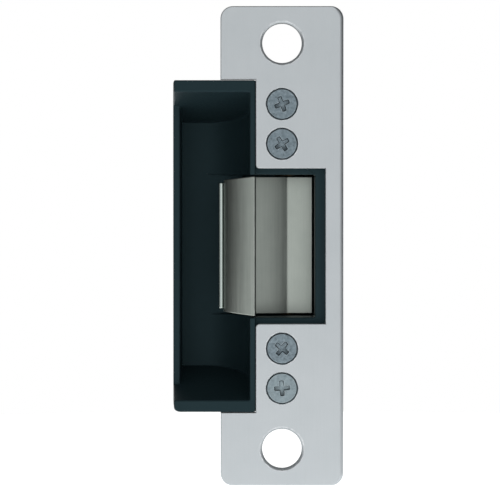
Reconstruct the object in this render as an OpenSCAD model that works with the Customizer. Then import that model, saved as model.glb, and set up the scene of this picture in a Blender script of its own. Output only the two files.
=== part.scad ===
// Electric door strike: a standard strike plate with a pivoting jaw, a rocking
// locking lever and a push solenoid in a cast housing behind it.
// X runs across the plate away from the lip, Y runs into the jamb from the
// plate's back face, and Z runs up the plate. The origin is midway between the
// two jamb screw holes, on the plate's back face.

/* [Faceplate] */
// Height of the plate
plate_h = 123.825; // [118:0.5:150]
// Width of the plate
plate_w = 31.75; // [31:0.25:36]
// Thickness of the plate
plate_t = 3; // [2.5:0.1:3.2]
// Radius of the plate's four corners
plate_corner_r = 3.2; // [1:0.1:5]
// Distance between the two jamb screw holes
jamb_hole_pitch = 104.775; // [100:0.5:108]
// Radius of the jamb screw holes
jamb_hole_r = 5.1; // [3:0.1:5.2]
// Half height of the latch opening
open_half_h = 20.05; // [19.5:0.05:20.4]
// Distance from the plate's centre to the latch opening's far edge
open_x = 11.2; // [10:0.1:12]

/* [Housing] */
// Half height of the cast housing
body_half_h = 42.85; // [42.5:0.05:42.9]
// Reach of the housing to the lip side of the centre
body_reach = 28.4; // [27.5:0.1:30]
// Depth of the housing behind the plate
body_depth = 27.4; // [27.2:0.1:27.6]
// Depth of the scooped recess beside the jaw
recess_depth = 24; // [23:0.5:24.5]
// Depth at which the latch clears the lip side wall
lip_depth = 9.5; // [8:0.5:12]
// Depth of the rear cover
cover_depth = 10.8; // [10.6:0.1:12]

/* [Jaw] */
// Half height of the jaw
jaw_half_h = 18.05; // [17.5:0.05:18.1]
// Depth of the latch pocket behind the plate
pocket_depth = 12; // [11.5:0.1:12.2]
// Radius of the jaw's outer ramp
ramp_r = 11.6; // [11.3:0.1:11.7]
// Slope of the pocket's floor at the foot of the nose, in degrees
foot_tilt = 20; // [12:1:30]
// Radius of the jaw's pin
jaw_pin_r = 2; // [1.8:0.05:2.1]

/* [Solenoid] */
// Outer radius of the coil winding
coil_r = 6; // [5:0.1:6.1]
// Radius of the plunger
plunger_r = 2.92; // [2.7:0.02:2.94]
// Radius of the push rod
rod_r = 1; // [0.8:0.05:1.02]

/* [Fasteners] */
// Head radius of the plate screws
screw_head_r = 4.15; // [3.9:0.05:4.25]
// Shank radius of the plate screws
screw_r = 2.05; // [1.8:0.05:2.08]
// Shank radius of the cover screws
cover_screw_r = 1.2; // [1:0.05:1.22]

/* [Hidden] */
$fn = 64;

// How far a cutter stands past the face it cuts
past = 1;
// Play of a part that turns or slides on another
play = 0.06;
// Gap round a fixed part in its seat
seat = 0.03;
// Gap round a part that is dropped in loosely
loose = 0.1;
// Points in one turn of a spring, along the ramp and round the rolled edge
turn_steps = 14;
ramp_steps = 32;
bead_steps = 16;

// Plate
notch_x = -6.8;
notch_half_h = 43;
open_corner_r = 1;
hole_chamfer = 0.5;
plate_screw_z = [-36.7, -26.45, 26.45, 36.7];
plate_screw_turn = [4, 52, 33, 21];
sink_angle = 41;
plate_screw_len = 10.5;
plate_recess_w = 4;
plate_recess_depth = 1.6;

// Housing, from the lip side to the far side
body_lo_x = -body_reach;
body_hi_x = 13.9;
rim_hi_x = -6.9;
wall_x = body_lo_x + 1.8;
strip_x = -8.3;
scoop_x = -20;
scoop_r = strip_x - scoop_x;
scoop_end_floor = 32.5;
scoop_end_face = 39.85;
body_corner_r = 2.2;
lip_draft = 0.5;
frame_bore_y = 3.6;
cover_bore_y = 20.5;
board_bore_y = 16;
bay_half_h = 18.5;
bay_lo_x = -10;
bay_hi_x = 8.6;
bay_depth = 25.2;
chamber_lo = [-6.3, 8, 22];
chamber_hi = [12.3, body_depth, 41];

// Jaw and its pin
jaw_pin_at = [2, 20.5];
knuckle_r = 4.2;
nose_x = -6.9;
nose_land = 0.15;
nose_tilt = 15;
ramp_end_tilt = 70;
ramp_at = [nose_x - nose_land + ramp_r * sin(nose_tilt), ramp_r * cos(nose_tilt) - plate_t];
bead_r = 0.66;
bead_at = [-15.75, 5.6];
bead_half_h = 16.4;
bead_arc = [20, -190];
bead_end_y = 8.6;
groove_bottom = [0.76, 0.8];
jaw_underside = [[-16.1, 7.4], [-6, 16], [-1.5, 18.6], [5.6, 16.6]];
jaw_floor_t = 3;
end_taper = 0.11;
taper_from = nose_x - 0.4;
foot_w = 8.5;
jaw_hi_x = 8.2;
tab_w = 2.5;
tab_half_h = 3;
tab_reach = 10.5;
window_x = [0.2, 10];
window_gap = 0.5;
spring_bay = [5, 12.8];
spring_room_x = -5;
spring_room_gap = 0.2;
jaw_pin_half = 23.2;
clip_z = 22.05;
clip_t = 0.6;
clip_w = 1.3;
clip_gap = 2.4;
washer_t = 0.35;
washer_r = 3.8;

// Jaw spring
jaw_coil_r = 3.1;
jaw_wire_r = 0.4;
jaw_coil_turns = 5;
first_leg = [[-4.4, 15.9], [-2, 16.4], [0.6, 17.1]];
last_leg = [[0.4, 23.7], [-3, 24], [-7, 24.6]];

// Locking lever, which rocks about an X pin behind the housing
lever_x = [3.6, 6.3];
lever_mid_x = (lever_x[0] + lever_x[1]) / 2;
lever_pin_at = [33.7, 16];
lever_pin_r = 1.5;
ear_z = [13.2, 18.8];
ear_y = 36;
near_ear_x = [0.9, 3.3];
far_ear_x = [6.6, 8.6];
lever_pin_x = [0.1, 9.4];
lever_clip_x = [0.25, 8.65];
lever_clip_r = 2.2;
lever_spring_z = 8;
lever_coil_r = 1.2;
lever_wire_r = 0.22;
lever_coil_turns = 4;
spring_gap = 0.02;
lever_face_y = 31.9;
spigot_r = 0.75;
spigot_len = 1.2;
lever_clip_gap = 1.8;
rib_lo = [6.45, body_depth - past, 4];
rib_hi = [8.2, 35, 12.4];
lever_outline = [
    [lever_face_y, -2.5], [lever_face_y, 12.6], [30.9, 14.4], [30.9, 17.6], [28, 25], [28, 34],
    [30.8, 34], [30.8, 25.8], [36, 18.4], [36, 14], [35.3, 12.4], [35.3, -2.5]
];

// Solenoid, whose axis runs along Y
coil_at = [lever_mid_x, 31.5];
coil_half_w = 6.5;
frame_t = 1.5;
frame_lo_x = -3;
frame_hi_x = 11.6;
frame_foot_x = -6.1;
frame_y = [8, 26.2];
bobbin_bore_r = 3;
bobbin_tube_r = 3.6;
flange_t = 0.8;
flange_rim = 0.4;
plunger_gap = 0.2;
tape_t = 0.2;
core_y = 21.2;
core_neck_r = 2;
plunger_y = [8.3, 17.5];
rod_y_ends = [15, 27.9];
frame_screw_x = -4.6;
frame_screw_z = [29, 34];
frame_screw_r = 0.95;
frame_screw_len = 5.5;
frame_screw_head = [1.45, 1.1];

// Round screw heads: taper of the head, width of the recess against it, and its turn
pan_taper = 0.85;
pan_recess = 1.2;
pan_recess_turn = 20;

// Rear cover and its screws
cover_t = 1.4;
cover_corner_r = 2;
cover_y = body_depth + cover_depth;
cover_screw_at = [[-4.3, 20.25], [10.8, 20.25]];
post_r = 2.1;
cover_head_r = 2.3;
cover_screw_len = 16;
cover_recess_w = 2.6;
cover_recess_depth = 0.8;
cover_recess_turn = 30;

// Supply board, behind the lower half
board_lo = [-5.8, 24, -39.4];
board_hi = [11.8, 25.6, -24];
board_screw_at = [[-4.2, -37.4], [10.2, -25.6]];
board_screw_r = 0.75;
board_screw_len = 7;
board_screw_head = [1.5, 0.9];
standoff_r = 2;
socket_lo = [-1.2, board_hi[1], -37.4];
socket_hi = [9.2, cover_y, -30.6];
socket_wall = 1;
socket_pin_x = [2, 6];
socket_pin_z = -34;
socket_pin_r = 0.5;
socket_pin_y = 34;
socket_floor_t = 2;
socket_pin_gap = 0.05;
socket_pin_tail = 0.5;
diode_at = [3, 27.1, -26.8];
diode_r = 1.3;
diode_half = 2.4;
diode_lead_r = 0.35;
diode_lead_half = 4;

// Middle line of the first coil lead, from the coil's rear plate to the board
lead_r = 0.4;
lead_pitch = 1;
lead_x = -1.5;
lead_points = [
    [26.25, 28], [27.6, 28], [28.4, 27.7], [28.9, 27], [29, 26], [29, 12], [29, 0],
    [29, -12], [29, -24], [28.9, -25], [28.4, -25.7], [27.6, -26], [25.65, -26]
];

// Shapes that the parts share

module box_between(lo, hi) {
    translate(lo)
        cube(hi - lo);
}

// An outline in X and Z, carried from y0 to y1
module slab(y0, y1) {
    translate([0, y1, 0])
        rotate([90, 0, 0])
            linear_extrude(y1 - y0)
                children();
}

// An outline in Y and Z, carried from x0 to x1
module bar_x(x0, x1) {
    translate([x0, 0, 0])
        rotate([90, 0, 90])
            linear_extrude(x1 - x0)
                children();
}

// An outline in X and Y, carried from z0 to z1
module column(z0, z1) {
    translate([0, 0, z0])
        linear_extrude(z1 - z0)
            children();
}

// A round bar along Y at (x, z)
module rod_y(at, y0, y1, r, r_end = undef) {
    translate([at[0], y0, at[1]])
        rotate([-90, 0, 0])
            cylinder(h = y1 - y0, r1 = r, r2 = is_undef(r_end) ? r : r_end);
}

// A round bar along X at (y, z)
module rod_x(at, x0, x1, r) {
    translate([x0, at[0], at[1]])
        rotate([0, 90, 0])
            cylinder(h = x1 - x0, r = r);
}

// A round bar along Z at (x, y)
module rod_z(at, z0, z1, r) {
    translate([at[0], at[1], z0])
        cylinder(h = z1 - z0, r = r);
}

module both_ends() {
    children();
    mirror([0, 0, 1])
        children();
}

// The bit that squares off a corner of radius r, in the first quadrant's corner
module corner_bit(r) {
    difference() {
        translate([-past, -past])
            square(r + past);
        translate([r, r])
            circle(r);
    }
}

module rounded_rect(w, h, r) {
    difference() {
        square([w, h], center = true);
        for (sx = [0, 1])
            for (sz = [0, 1])
                mirror([sx, 0])
                    mirror([0, sz])
                        translate([-w / 2, -h / 2])
                            corner_bit(r);
    }
}

function unit(v) = v / norm(v);

function path_dir(points, i) =
    unit(points[min(i + 1, len(points) - 1)] - points[max(i - 1, 0)]);

// A round wire along points; across is never parallel to the wire
module wire(points, r, across, sides = 8) {
    last = len(points) - 1;
    verts = [
        for (i = [0:last])
            let (
                along = path_dir(points, i),
                side = unit(cross(along, across)),
                top = cross(side, along)
            )
            for (k = [0:sides - 1])
                let (a = 360 * k / sides)
                points[i] + r * (cos(a) * side + sin(a) * top)
    ];
    walls = [
        for (i = [0:last - 1])
            for (k = [0:sides - 1])
                let (n = (k + 1) % sides)
                [i * sides + n, i * sides + k, (i + 1) * sides + k, (i + 1) * sides + n]
    ];
    start_cap = [for (k = [0:sides - 1]) k];
    end_cap = [for (k = [sides - 1:-1:0]) last * sides + k];
    polyhedron(verts, concat([start_cap], walls, [end_cap]), convexity = 6);
}

// Countersunk screw along Y, its head flush at y0 and its point towards +Y or -Y
module sunk_screw(at, y0, len, head_r, shank_r, dir = 1) {
    cone = (head_r - shank_r) / tan(sink_angle);
    translate([at[0], y0, at[1]])
        rotate([-90 * dir, 0, 0]) {
            cylinder(h = cone, r1 = head_r, r2 = shank_r);
            cylinder(h = len - shank_r / 2, r = shank_r);
            translate([0, 0, len - shank_r / 2])
                cylinder(h = shank_r / 2, r1 = shank_r, r2 = shank_r / 2);
        }
}

// Cross recess for a driver, cut into a screw's head at y0; its wings are a quarter as thick as wide
module cross_recess(at, y0, width, depth, turn, dir = 1) {
    translate([at[0], y0, at[1]])
        rotate([-90 * dir, 0, 0])
            rotate([0, 0, turn])
                for (a = [0, 90])
                    rotate([0, 0, a])
                        cube([width, width / 4, 2 * depth], center = true);
}

// Faceplate

module plate_outline() {
    difference() {
        rounded_rect(plate_w, plate_h, plate_corner_r);
        translate([-plate_w / 2 - past, -notch_half_h])
            square([notch_x + plate_w / 2 + past, 2 * notch_half_h]);
        translate([notch_x - past, -open_half_h])
            square([open_x - notch_x + past, 2 * open_half_h]);
        for (sz = [0, 1])
            mirror([0, sz])
                translate([notch_x, open_half_h])
                    corner_bit(open_corner_r);
    }
}

module faceplate() {
    color("#aeb3b7")
        difference() {
            slab(-plate_t, 0)
                plate_outline();
            for (s = [-1, 1])
                translate([0, 0, s * jamb_hole_pitch / 2]) {
                    rod_y([0, 0], -plate_t - past, past, jamb_hole_r);
                    rod_y([0, 0], -plate_t, -plate_t + hole_chamfer, jamb_hole_r + hole_chamfer, jamb_hole_r);
                }
            for (z = plate_screw_z)
                plate_screw_sink(z);
        }
}

// Room for one plate screw through the plate
module plate_screw_sink(z) {
    cone = (screw_head_r - screw_r) / tan(sink_angle);
    rod_y([0, z], -plate_t - past, past, screw_r + seat);
    rod_y([0, z], -plate_t, -plate_t + cone, screw_head_r + seat, screw_r + seat);
}

module plate_screws() {
    color("#7b878d")
        for (i = [0:len(plate_screw_z) - 1])
            difference() {
                sunk_screw([0, plate_screw_z[i]], -plate_t, plate_screw_len, screw_head_r, screw_r);
                cross_recess(
                    [0, plate_screw_z[i]], -plate_t, plate_recess_w, plate_recess_depth, plate_screw_turn[i]
                );
            }
}

// Housing

// Outline in X and Z, with its lower lip corner rounded
module body_outline(x_lo, x_hi, r) {
    difference() {
        translate([x_lo, -body_half_h])
            square([x_hi - x_lo, 2 * body_half_h]);
        translate([x_lo, -body_half_h])
            corner_bit(r);
    }
}

// Section of the scooped recess in X and Y: flat floor, then a quarter round
module scoop_section() {
    top = -plate_t - past;
    intersection() {
        translate([wall_x, top])
            square([strip_x - wall_x, recess_depth - top]);
        union() {
            translate([wall_x, top])
                square([scoop_x - wall_x, recess_depth - top]);
            translate([scoop_x, recess_depth - scoop_r])
                circle(scoop_r);
            translate([scoop_x - past, top])
                square([strip_x - scoop_x + past, recess_depth - scoop_r - top]);
        }
    }
}

// Section of the recess in Y and Z, with its sloping end walls
module scoop_side() {
    slope = (scoop_end_face - scoop_end_floor) / (recess_depth + plate_t);
    face = scoop_end_face + past * slope;
    polygon([
        [-plate_t - past, -face], [recess_depth, -scoop_end_floor],
        [recess_depth, scoop_end_floor], [-plate_t - past, face]
    ]);
}

module scoop() {
    intersection() {
        column(-body_half_h, body_half_h)
            scoop_section();
        bar_x(body_lo_x, 0)
            scoop_side();
    }
}

// Space in which the jaw turns
module jaw_bay() {
    front = -plate_t - past;
    box_between([wall_x, front, -bay_half_h], [bay_lo_x + past, recess_depth, bay_half_h]);
    box_between([bay_lo_x, front, -bay_half_h], [bay_hi_x, bay_depth, bay_half_h]);
    // Window for the jaw's locking tab
    box_between(
        [window_x[0], bay_depth - past, -tab_half_h - window_gap],
        [window_x[1], body_depth + past, tab_half_h + window_gap]
    );
}

module body_bores() {
    for (z = plate_screw_z)
        rod_y([0, z], -past, chamber_lo[1] + past, screw_r + seat);
    rod_z(jaw_pin_at, -chamber_lo[2] - past, chamber_lo[2] + past, jaw_pin_r + seat);
    for (z = frame_screw_z)
        rod_y([frame_screw_x, z], frame_bore_y, chamber_lo[1] + past, frame_screw_r + seat);
    both_ends()
        for (at = cover_screw_at)
            rod_y(at, cover_bore_y, body_depth + past, cover_screw_r + seat);
    for (at = board_screw_at)
        rod_y(at, board_bore_y, board_lo[1] + past, board_screw_r + seat);
}

// Ears, rib and spigot that carry the locking lever
module lever_mounts() {
    root = body_depth - past;
    difference() {
        union() {
            box_between([near_ear_x[0], root, ear_z[0]], [near_ear_x[1], ear_y, ear_z[1]]);
            box_between([far_ear_x[0], root, ear_z[0]], [far_ear_x[1], ear_y, ear_z[1]]);
        }
        rod_x(lever_pin_at, near_ear_x[0] - past, far_ear_x[1] + past, lever_pin_r + seat);
    }
    box_between(rib_lo, rib_hi);
    rod_y([lever_mid_x, lever_spring_z], root, body_depth + spigot_len, spigot_r);
}

// The lip side wall stands lower between the recess's end walls
module lip_opening() {
    intersection() {
        bar_x(body_lo_x - past, wall_x + past)
            scoop_side();
        box_between(
            [body_lo_x - past, -plate_t - past, -body_half_h],
            [wall_x + past, lip_depth, body_half_h]
        );
    }
}

// Sliver off the lip side, so that its face leans in towards the front
module lip_side_draft() {
    column(-body_half_h - past, body_half_h + past)
        polygon([
            [body_lo_x - past, -plate_t - past], [body_lo_x + lip_draft, -plate_t - past],
            [body_lo_x + lip_draft, -plate_t], [body_lo_x, lip_depth], [body_lo_x - past, lip_depth]
        ]);
}

module strike_body() {
    color("#1f282c") {
        difference() {
            union() {
                slab(0, body_depth)
                    body_outline(body_lo_x, body_hi_x, body_corner_r);
                slab(-plate_t, past)
                    body_outline(body_lo_x, rim_hi_x, body_corner_r);
            }
            scoop();
            jaw_bay();
            both_ends()
                box_between(chamber_lo, chamber_hi + [0, past, 0]);
            lip_opening();
            lip_side_draft();
            body_bores();
        }
        lever_mounts();
        difference() {
            for (at = board_screw_at)
                rod_y(at, chamber_lo[1] - past, board_lo[1], standoff_r);
            body_bores();
        }
    }
}

// Jaw, drawn in X and Y at rest

// Points of an arc about c, from one angle to another
function arc_points(c, r, from, to, steps) =
    [for (i = [0:steps]) let (a = from + (to - from) * i / steps) c + r * [cos(a), sin(a)]];

// Outline from the nose round the ramp and the rolled edge, under the jaw and
// back through the latch pocket
module jaw_section() {
    polygon(concat(
        arc_points(ramp_at, ramp_r, 270 - nose_tilt, 270 - ramp_end_tilt, ramp_steps),
        [bead_at + groove_bottom],
        arc_points(bead_at, bead_r, bead_arc[0], bead_arc[1], bead_steps),
        jaw_underside,
        [[jaw_hi_x, pocket_depth + jaw_floor_t], [jaw_hi_x, pocket_depth]],
        [
            [nose_x + foot_w, pocket_depth], [nose_x, pocket_depth - foot_w * tan(foot_tilt)],
            [nose_x, -plate_t]
        ]
    ));
}

module jaw() {
    color("#8c9492")
        difference() {
            union() {
                column(-jaw_half_h, jaw_half_h)
                    jaw_section();
                rod_z(jaw_pin_at, -jaw_half_h, jaw_half_h, knuckle_r);
                box_between(
                    [jaw_pin_at[0] - tab_w / 2, jaw_pin_at[1], -tab_half_h],
                    [jaw_pin_at[0] + tab_w / 2, jaw_pin_at[1] + tab_reach, tab_half_h]
                );
            }
            rod_z(jaw_pin_at, -jaw_half_h - past, jaw_half_h + past, jaw_pin_r + play);
            // Room for the spring round the pin
            box_between(
                [spring_room_x, pocket_depth + jaw_floor_t + spring_room_gap, spring_bay[0]],
                [jaw_hi_x + past, bay_depth + past, spring_bay[1]]
            );
            // The rolled left edge stops short of the ends
            both_ends()
                box_between(
                    [wall_x, 0, bead_half_h],
                    [bead_at[0] + bead_r + seat, bead_end_y, jaw_half_h + past]
                );
            // The ramp narrows a little away from the nose
            both_ends()
                slab(-plate_t - past, jaw_pin_at[1])
                    polygon([
                        [taper_from, jaw_half_h], [taper_from, jaw_half_h + past],
                        [wall_x, jaw_half_h + past],
                        [wall_x, jaw_half_h - (taper_from - wall_x) * end_taper]
                    ]);
        }
}

module jaw_pin() {
    color("#a8adb0")
        rod_z(jaw_pin_at, -jaw_pin_half, jaw_pin_half, jaw_pin_r);
}

// Open retaining ring round the jaw's pin
module jaw_pin_clips() {
    color("#55595c")
        both_ends()
            difference() {
                rod_z(jaw_pin_at, clip_z, clip_z + clip_t, jaw_pin_r + clip_w);
                rod_z(jaw_pin_at, clip_z - past, clip_z + clip_t + past, jaw_pin_r + seat);
                box_between(
                    [jaw_pin_at[0] - clip_gap / 2, jaw_pin_at[1], clip_z - past],
                    [jaw_pin_at[0] + clip_gap / 2, jaw_pin_at[1] + washer_r + past, clip_z + clip_t + past]
                );
            }
}

module thrust_washers() {
    low = (jaw_half_h + bay_half_h - washer_t) / 2;
    color("#b59a5b")
        both_ends()
            difference() {
                rod_z(jaw_pin_at, low, low + washer_t, washer_r);
                rod_z(jaw_pin_at, low - past, low + washer_t + past, jaw_pin_r + seat);
            }
}

// Torsion spring: one leg under the jaw, a coil round the pin, one leg on the housing
module jaw_spring() {
    steps = turn_steps * jaw_coil_turns;
    low = spring_bay[0] + 2 * jaw_wire_r;
    high = spring_bay[1] - 2 * jaw_wire_r;
    coil = [
        for (i = [0:steps])
            let (a = 270 - 360 * (jaw_coil_turns + 0.5) * i / steps)
            [
                jaw_pin_at[0] + jaw_coil_r * cos(a), jaw_pin_at[1] + jaw_coil_r * sin(a),
                low + (high - low) * i / steps
            ]
    ];
    start = [for (p = first_leg) [p[0], p[1], low]];
    end = [for (p = last_leg) [p[0], p[1], high]];
    color("#8f9499")
        wire(concat(start, coil, end), jaw_wire_r, [0, 0, 1]);
}

// Locking lever

module lever_section() {
    difference() {
        polygon(lever_outline);
        translate(lever_pin_at)
            circle(lever_pin_r + play);
    }
}

module locking_lever() {
    color("#9a9fa2")
        bar_x(lever_x[0], lever_x[1])
            lever_section();
}

module lever_pin() {
    color("#a8adb0")
        rod_x(lever_pin_at, lever_pin_x[0], lever_pin_x[1], lever_pin_r);
}

module lever_pin_clips() {
    color("#55595c")
        for (x = lever_clip_x)
            difference() {
                rod_x(lever_pin_at, x, x + clip_t, lever_clip_r);
                rod_x(lever_pin_at, x - past, x + clip_t + past, lever_pin_r + seat);
                box_between(
                    [x - past, lever_pin_at[0], lever_pin_at[1] - lever_clip_gap / 2],
                    [
                        x + clip_t + past, lever_pin_at[0] + lever_clip_r + past,
                        lever_pin_at[1] + lever_clip_gap / 2
                    ]
                );
            }
}

// Compression spring round the housing's spigot, pushing the lever back
module lever_spring() {
    steps = turn_steps * lever_coil_turns;
    low = body_depth + lever_wire_r + spring_gap;
    high = lever_face_y - lever_wire_r - spring_gap;
    coil = [
        for (i = [0:steps])
            let (a = 360 * lever_coil_turns * i / steps)
            [
                lever_mid_x + lever_coil_r * cos(a), low + (high - low) * i / steps,
                lever_spring_z + lever_coil_r * sin(a)
            ]
    ];
    color("#b6babd")
        wire(coil, lever_wire_r, [0, 1, 0]);
}

// Solenoid

module frame_plate(x0, x1, y0, y1) {
    box_between([x0, y0, coil_at[1] - coil_half_w], [x1, y1, coil_at[1] + coil_half_w]);
}

module solenoid_frame() {
    color("#8d9296")
        difference() {
            union() {
                frame_plate(frame_foot_x, frame_hi_x, frame_y[0], frame_y[0] + frame_t);
                frame_plate(frame_lo_x, frame_lo_x + frame_t, frame_y[0], frame_y[1]);
                frame_plate(frame_lo_x, frame_hi_x, frame_y[1] - frame_t, frame_y[1]);
            }
            rod_y(coil_at, frame_y[0] - past, frame_y[0] + frame_t + past, plunger_r + plunger_gap);
            rod_y(coil_at, frame_y[1] - frame_t - past, frame_y[1] + past, core_neck_r + seat);
            for (z = frame_screw_z)
                rod_y(
                    [frame_screw_x, z], frame_y[0] - past, frame_y[0] + frame_t + past,
                    frame_screw_r + loose
                );
        }
}

module solenoid_bobbin() {
    y0 = frame_y[0] + frame_t;
    y1 = frame_y[1] - frame_t;
    color("#3c4246")
        difference() {
            union() {
                rod_y(coil_at, y0, y1, bobbin_tube_r);
                rod_y(coil_at, y0, y0 + flange_t, coil_r + flange_rim);
                rod_y(coil_at, y1 - flange_t, y1, coil_r + flange_rim);
            }
            rod_y(coil_at, y0 - past, y1 + past, bobbin_bore_r);
        }
}

// A sleeve round the coil's axis, between the bobbin's flanges
module coil_sleeve(r_in, r_out) {
    y0 = frame_y[0] + frame_t + flange_t;
    y1 = frame_y[1] - frame_t - flange_t;
    difference() {
        rod_y(coil_at, y0, y1, r_out);
        rod_y(coil_at, y0 - past, y1 + past, r_in);
    }
}

module coil_winding() {
    color("#a2552b")
        coil_sleeve(bobbin_tube_r, coil_r);
}

module coil_tape() {
    color("#d9c46a")
        coil_sleeve(coil_r, coil_r + tape_t);
}

module pole_core() {
    color("#9ea3a6")
        difference() {
            union() {
                rod_y(coil_at, core_y, frame_y[1] - frame_t, bobbin_bore_r - seat);
                rod_y(coil_at, core_y, frame_y[1], core_neck_r);
            }
            rod_y(coil_at, core_y - past, frame_y[1] + past, rod_r + play);
        }
}

module plunger() {
    color("#a9aeb1")
        difference() {
            rod_y(coil_at, plunger_y[0], plunger_y[1], plunger_r);
            rod_y(coil_at, rod_y_ends[0], plunger_y[1] + past, rod_r + seat);
        }
}

module push_rod() {
    color("#b59a5b")
        rod_y(coil_at, rod_y_ends[0], rod_y_ends[1], rod_r);
}

// Round-head screw along Y, with its head's seat at y0 and head = [radius, height]
module pan_screw(at, y0, len, head, shank_r) {
    difference() {
        union() {
            rod_y(at, y0, y0 + head[1], head[0], head[0] * pan_taper);
            rod_y(at, y0 - len, y0, shank_r);
        }
        cross_recess(at, y0 + head[1], head[0] * pan_recess, head[1] / 2, pan_recess_turn);
    }
}

module solenoid_screws() {
    color("#7b878d")
        for (z = frame_screw_z)
            pan_screw(
                [frame_screw_x, z], frame_y[0] + frame_t, frame_screw_len, frame_screw_head, frame_screw_r
            );
}

// Rear cover

module cover_outline(inset) {
    w = body_hi_x - strip_x;
    translate([strip_x + w / 2, 0])
        rounded_rect(w - 2 * inset, 2 * (body_half_h - inset), cover_corner_r - inset);
}

module rear_cover() {
    cone = (cover_head_r - cover_screw_r) / tan(sink_angle);
    color("#2b3236")
        difference() {
            union() {
                difference() {
                    slab(body_depth, cover_y)
                        cover_outline(0);
                    slab(body_depth - past, cover_y - cover_t)
                        cover_outline(cover_t);
                }
                both_ends()
                    for (at = cover_screw_at)
                        rod_y(at, body_depth, cover_y - cover_t / 2, post_r);
            }
            both_ends()
                for (at = cover_screw_at) {
                    rod_y(at, body_depth - past, cover_y + past, cover_screw_r + loose);
                    rod_y(at, cover_y - cone, cover_y, cover_screw_r + loose, cover_head_r + loose);
                }
            box_between(
                [socket_lo[0] - loose, body_depth, socket_lo[2] - loose],
                [socket_hi[0] + loose, cover_y + past, socket_hi[2] + loose]
            );
        }
}

module cover_screws() {
    color("#7b878d")
        both_ends()
            for (at = cover_screw_at)
                difference() {
                    sunk_screw(at, cover_y, cover_screw_len, cover_head_r, cover_screw_r, -1);
                    cross_recess(at, cover_y, cover_recess_w, cover_recess_depth, cover_recess_turn);
                }
}

// Supply board

module circuit_board() {
    color("#2f6b46")
        difference() {
            box_between(board_lo, board_hi);
            for (at = board_screw_at)
                rod_y(at, board_lo[1] - past, board_hi[1] + past, board_screw_r + loose);
            for (x = socket_pin_x)
                rod_y(
                    [x, socket_pin_z], board_lo[1] - past, board_hi[1] + past,
                    socket_pin_r + socket_pin_gap
                );
        }
}

module board_screws() {
    color("#7b878d")
        for (at = board_screw_at)
            pan_screw(at, board_hi[1], board_screw_len, board_screw_head, board_screw_r);
}

// Axial diode lying on the board, with its leads turned down to it
module suppressor_diode() {
    color("#33373a") {
        rod_x([diode_at[1], diode_at[2]], diode_at[0] - diode_half, diode_at[0] + diode_half, diode_r);
        rod_x(
            [diode_at[1], diode_at[2]],
            diode_at[0] - diode_lead_half, diode_at[0] + diode_lead_half, diode_lead_r
        );
        for (s = [-1, 1])
            rod_y(
                [diode_at[0] + s * (diode_lead_half - diode_lead_r), diode_at[2]],
                board_hi[1], diode_at[1], diode_lead_r
            );
    }
}

module connector_socket() {
    color("#e6e2d6")
        difference() {
            box_between(socket_lo, socket_hi);
            box_between(
                socket_lo + [socket_wall, socket_floor_t, socket_wall],
                socket_hi + [-socket_wall, past, -socket_wall]
            );
            for (x = socket_pin_x)
                rod_y(
                    [x, socket_pin_z], socket_lo[1] - past, socket_lo[1] + socket_floor_t + past,
                    socket_pin_r + socket_pin_gap
                );
        }
}

module connector_pins() {
    color("#c9a24a")
        for (x = socket_pin_x)
            rod_y([x, socket_pin_z], board_lo[1] - socket_pin_tail, socket_pin_y, socket_pin_r);
}

module coil_leads() {
    color("#b02a22")
        for (i = [0, 1])
            wire([for (p = lead_points) [lead_x + i * lead_pitch, p[0], p[1]]], lead_r, [1, 0, 0]);
}

faceplate();
strike_body();
plate_screws();
jaw();
jaw_pin();
jaw_pin_clips();
thrust_washers();
jaw_spring();
locking_lever();
lever_pin();
lever_pin_clips();
lever_spring();
solenoid_frame();
solenoid_bobbin();
coil_winding();
coil_tape();
pole_core();
plunger();
push_rod();
solenoid_screws();
rear_cover();
cover_screws();
circuit_board();
board_screws();
suppressor_diode();
connector_socket();
connector_pins();
coil_leads();
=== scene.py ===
"""Looks of an electric door strike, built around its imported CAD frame.

Every length is in metres unless a name says otherwise, in the CAD model's own
axes: X runs across the faceplate away from the lip, Y runs into the jamb and Z
runs up the plate.
"""

import logging
import math
from dataclasses import dataclass
from enum import Enum
from typing import Any

import bmesh
import bpy
import numpy as np
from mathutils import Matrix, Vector
from mathutils.geometry import delaunay_2d_cdt


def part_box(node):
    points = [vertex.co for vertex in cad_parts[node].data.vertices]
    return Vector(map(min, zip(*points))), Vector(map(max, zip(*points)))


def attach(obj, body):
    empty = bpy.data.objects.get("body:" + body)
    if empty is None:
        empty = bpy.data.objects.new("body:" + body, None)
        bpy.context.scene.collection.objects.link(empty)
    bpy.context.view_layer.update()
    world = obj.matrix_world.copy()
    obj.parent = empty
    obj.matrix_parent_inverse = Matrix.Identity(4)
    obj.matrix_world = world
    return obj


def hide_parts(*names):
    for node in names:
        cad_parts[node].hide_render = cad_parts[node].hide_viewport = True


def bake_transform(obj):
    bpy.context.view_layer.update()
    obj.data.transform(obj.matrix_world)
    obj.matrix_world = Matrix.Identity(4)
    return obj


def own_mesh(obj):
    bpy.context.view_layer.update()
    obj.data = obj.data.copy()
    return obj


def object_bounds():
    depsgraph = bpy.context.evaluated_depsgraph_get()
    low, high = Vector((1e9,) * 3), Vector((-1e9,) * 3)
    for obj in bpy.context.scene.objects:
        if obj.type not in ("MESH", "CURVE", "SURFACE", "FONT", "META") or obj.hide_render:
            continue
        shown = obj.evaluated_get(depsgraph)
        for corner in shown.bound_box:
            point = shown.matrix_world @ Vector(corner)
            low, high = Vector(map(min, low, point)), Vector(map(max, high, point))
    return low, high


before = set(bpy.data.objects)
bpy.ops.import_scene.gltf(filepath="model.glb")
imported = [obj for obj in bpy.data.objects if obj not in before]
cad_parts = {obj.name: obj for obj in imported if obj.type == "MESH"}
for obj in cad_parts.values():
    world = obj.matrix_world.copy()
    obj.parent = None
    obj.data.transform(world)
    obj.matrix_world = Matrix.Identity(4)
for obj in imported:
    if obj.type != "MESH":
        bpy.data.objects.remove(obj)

CAD_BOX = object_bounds()

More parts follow.
